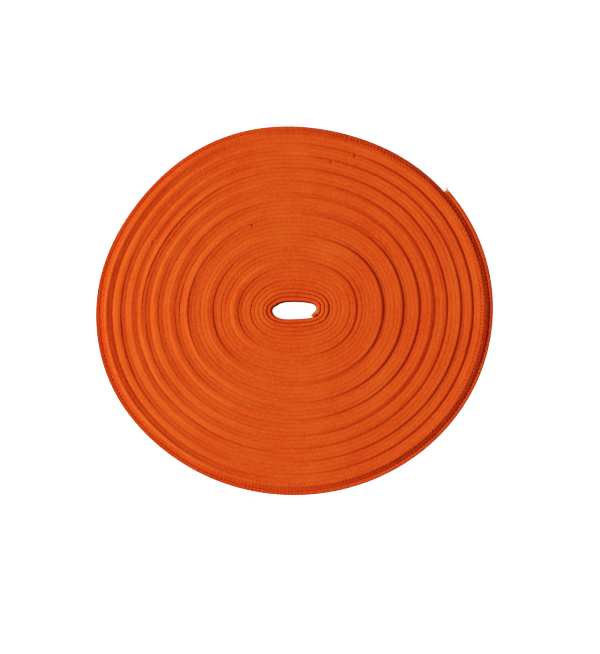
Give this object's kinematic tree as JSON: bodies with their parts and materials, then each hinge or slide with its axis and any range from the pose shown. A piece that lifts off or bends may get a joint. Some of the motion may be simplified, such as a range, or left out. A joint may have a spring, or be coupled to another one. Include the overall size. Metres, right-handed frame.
{
  "type": "flat drive belt coil",
  "caption": "Length of flat woven drive belt, wound on itself into an oblong flat coil with an open eye, a loose outer end and a short bent inner end.",
  "frame": {"origin": "under the middle of the coil, on the surface that it lies on", "axes": "+Z along the coil's axis, upwards; +X along the long side of the oblong coil"},
  "size_m": [0.1472, 0.1366, 0.0267],
  "materials": {
    "woven_cloth": "matt woven cloth with a soft sheen",
    "cut_cloth": "matt cut cloth with loose yarn ends"
  },
  "bodies": {
    "outer_turns": {"turns_39_to_42": "woven_cloth"},
    "turns_36_to_38": {"turns_36_to_38": "woven_cloth"},
    "turns_33_to_35": {"turns_33_to_35": "woven_cloth"},
    "turns_29_to_32": {"turns_29_to_32": "woven_cloth"},
    "turns_26_to_28": {"turns_26_to_28": "woven_cloth"},
    "turns_22_to_25": {"turns_22_to_25": "woven_cloth"},
    "turns_17_to_21": {"turns_17_to_21": "woven_cloth"},
    "turns_11_to_16": {"turns_11_to_16": "woven_cloth"},
    "turns_06_to_10": {"turns_06_to_10": "woven_cloth"},
    "turns_01_to_05": {"turns_01_to_05": "woven_cloth"},
    "free_end_01": {"free_end_01": "woven_cloth"},
    "free_end_02": {"free_end_02": "woven_cloth"},
    "free_end_03": {"free_end_03": "woven_cloth"},
    "free_end_04": {"free_end_04": "woven_cloth"},
    "free_end_05": {"free_end_05": "woven_cloth"},
    "free_end_06": {"free_end_06": "woven_cloth"},
    "free_end_07": {"free_end_07": "woven_cloth"},
    "free_end_08": {"free_end_08": "woven_cloth"},
    "free_end_09": {"free_end_09": "woven_cloth"},
    "free_end_10": {"free_end_10": "woven_cloth"},
    "free_end_11": {"free_end_11": "woven_cloth"},
    "free_end_12": {"free_end_12": "cut_cloth"},
    "inner_end_tab": {"inner_end_tab": "cut_cloth"}
  },
  "joints": [
    {"name": "creep_36_to_38", "type": "slide", "parent": "outer_turns", "child": "turns_36_to_38", "axis": [0, 0, 1], "range_m": [0, 0.003]},
    {"name": "creep_33_to_35", "type": "slide", "parent": "turns_36_to_38", "child": "turns_33_to_35", "axis": [0, 0, 1], "range_m": [0, 0.003]},
    {"name": "creep_29_to_32", "type": "slide", "parent": "turns_33_to_35", "child": "turns_29_to_32", "axis": [0, 0, 1], "range_m": [0, 0.003]},
    {"name": "creep_26_to_28", "type": "slide", "parent": "turns_29_to_32", "child": "turns_26_to_28", "axis": [0, 0, 1], "range_m": [0, 0.003]},
    {"name": "creep_22_to_25", "type": "slide", "parent": "turns_26_to_28", "child": "turns_22_to_25", "axis": [0, 0, 1], "range_m": [0, 0.003]},
    {"name": "creep_17_to_21", "type": "slide", "parent": "turns_22_to_25", "child": "turns_17_to_21", "axis": [0, 0, 1], "range_m": [0, 0.003]},
    {"name": "creep_11_to_16", "type": "slide", "parent": "turns_17_to_21", "child": "turns_11_to_16", "axis": [0, 0, 1], "range_m": [0, 0.003]},
    {"name": "creep_06_to_10", "type": "slide", "parent": "turns_11_to_16", "child": "turns_06_to_10", "axis": [0, 0, 1], "range_m": [0, 0.003]},
    {"name": "creep_01_to_05", "type": "slide", "parent": "turns_06_to_10", "child": "turns_01_to_05", "axis": [0, 0, 1], "range_m": [0, 0.003]},
    {"name": "peel_01", "type": "hinge", "parent": "outer_turns", "child": "free_end_01", "pos_m": [-0.05771, -0.04255, 0.013], "axis": [0, 0, -1], "range_deg": [0, 15]},
    {"name": "peel_02", "type": "hinge", "parent": "free_end_01", "child": "free_end_02", "pos_m": [-0.04367, -0.05476, 0.013], "axis": [0, 0, -1], "range_deg": [0, 15]},
    {"name": "peel_03", "type": "hinge", "parent": "free_end_02", "child": "free_end_03", "pos_m": [-0.02685, -0.06334, 0.013], "axis": [0, 0, -1], "range_deg": [0, 15]},
    {"name": "peel_04", "type": "hinge", "parent": "free_end_03", "child": "free_end_04", "pos_m": [-0.00823, -0.06759, 0.013], "axis": [0, 0, -1], "range_deg": [0, 15]},
    {"name": "peel_05", "type": "hinge", "parent": "free_end_04", "child": "free_end_05", "pos_m": [0.01094, -0.06719, 0.013], "axis": [0, 0, -1], "range_deg": [0, 15]},
    {"name": "peel_06", "type": "hinge", "parent": "free_end_05", "child": "free_end_06", "pos_m": [0.02936, -0.06214, 0.013], "axis": [0, 0, -1], "range_deg": [0, 15]},
    {"name": "peel_07", "type": "hinge", "parent": "free_end_06", "child": "free_end_07", "pos_m": [0.04576, -0.05279, 0.013], "axis": [0, 0, -1], "range_deg": [0, 15]},
    {"name": "peel_08", "type": "hinge", "parent": "free_end_07", "child": "free_end_08", "pos_m": [0.05904, -0.03976, 0.013], "axis": [0, 0, -1], "range_deg": [0, 15]},
    {"name": "peel_09", "type": "hinge", "parent": "free_end_08", "child": "free_end_09", "pos_m": [0.06827, -0.02394, 0.013], "axis": [0, 0, -1], "range_deg": [0, 15]},
    {"name": "peel_10", "type": "hinge", "parent": "free_end_09", "child": "free_end_10", "pos_m": [0.07283, -0.0064, 0.013], "axis": [0, 0, -1], "range_deg": [0, 15]},
    {"name": "peel_11", "type": "hinge", "parent": "free_end_10", "child": "free_end_11", "pos_m": [0.07239, 0.01166, 0.013], "axis": [0, 0, -1], "range_deg": [0, 15]},
    {"name": "peel_12", "type": "hinge", "parent": "free_end_11", "child": "free_end_12", "pos_m": [0.06696, 0.02902, 0.013], "axis": [0, 0, -1], "range_deg": [0, 15]},
    {"name": "tab_bend", "type": "hinge", "parent": "turns_01_to_05", "child": "inner_end_tab", "pos_m": [0.00907, 0.00049, 0.0125], "axis": [0, 0, -1], "range_deg": [0, 20]}
  ],
  "couplings": [
    {"joint": "creep_33_to_35", "follows": "creep_36_to_38", "ratio": 1},
    {"joint": "creep_29_to_32", "follows": "creep_36_to_38", "ratio": 1},
    {"joint": "creep_26_to_28", "follows": "creep_36_to_38", "ratio": 1},
    {"joint": "creep_22_to_25", "follows": "creep_36_to_38", "ratio": 1},
    {"joint": "creep_17_to_21", "follows": "creep_36_to_38", "ratio": 1},
    {"joint": "creep_11_to_16", "follows": "creep_36_to_38", "ratio": 1},
    {"joint": "creep_06_to_10", "follows": "creep_36_to_38", "ratio": 1},
    {"joint": "creep_01_to_05", "follows": "creep_36_to_38", "ratio": 1},
    {"joint": "peel_02", "follows": "peel_01", "ratio": 1},
    {"joint": "peel_03", "follows": "peel_01", "ratio": 1},
    {"joint": "peel_04", "follows": "peel_01", "ratio": 1},
    {"joint": "peel_05", "follows": "peel_01", "ratio": 1},
    {"joint": "peel_06", "follows": "peel_01", "ratio": 1},
    {"joint": "peel_07", "follows": "peel_01", "ratio": 1},
    {"joint": "peel_08", "follows": "peel_01", "ratio": 1},
    {"joint": "peel_09", "follows": "peel_01", "ratio": 1},
    {"joint": "peel_10", "follows": "peel_01", "ratio": 1},
    {"joint": "peel_11", "follows": "peel_01", "ratio": 1},
    {"joint": "peel_12", "follows": "peel_01", "ratio": 1}
  ]
}
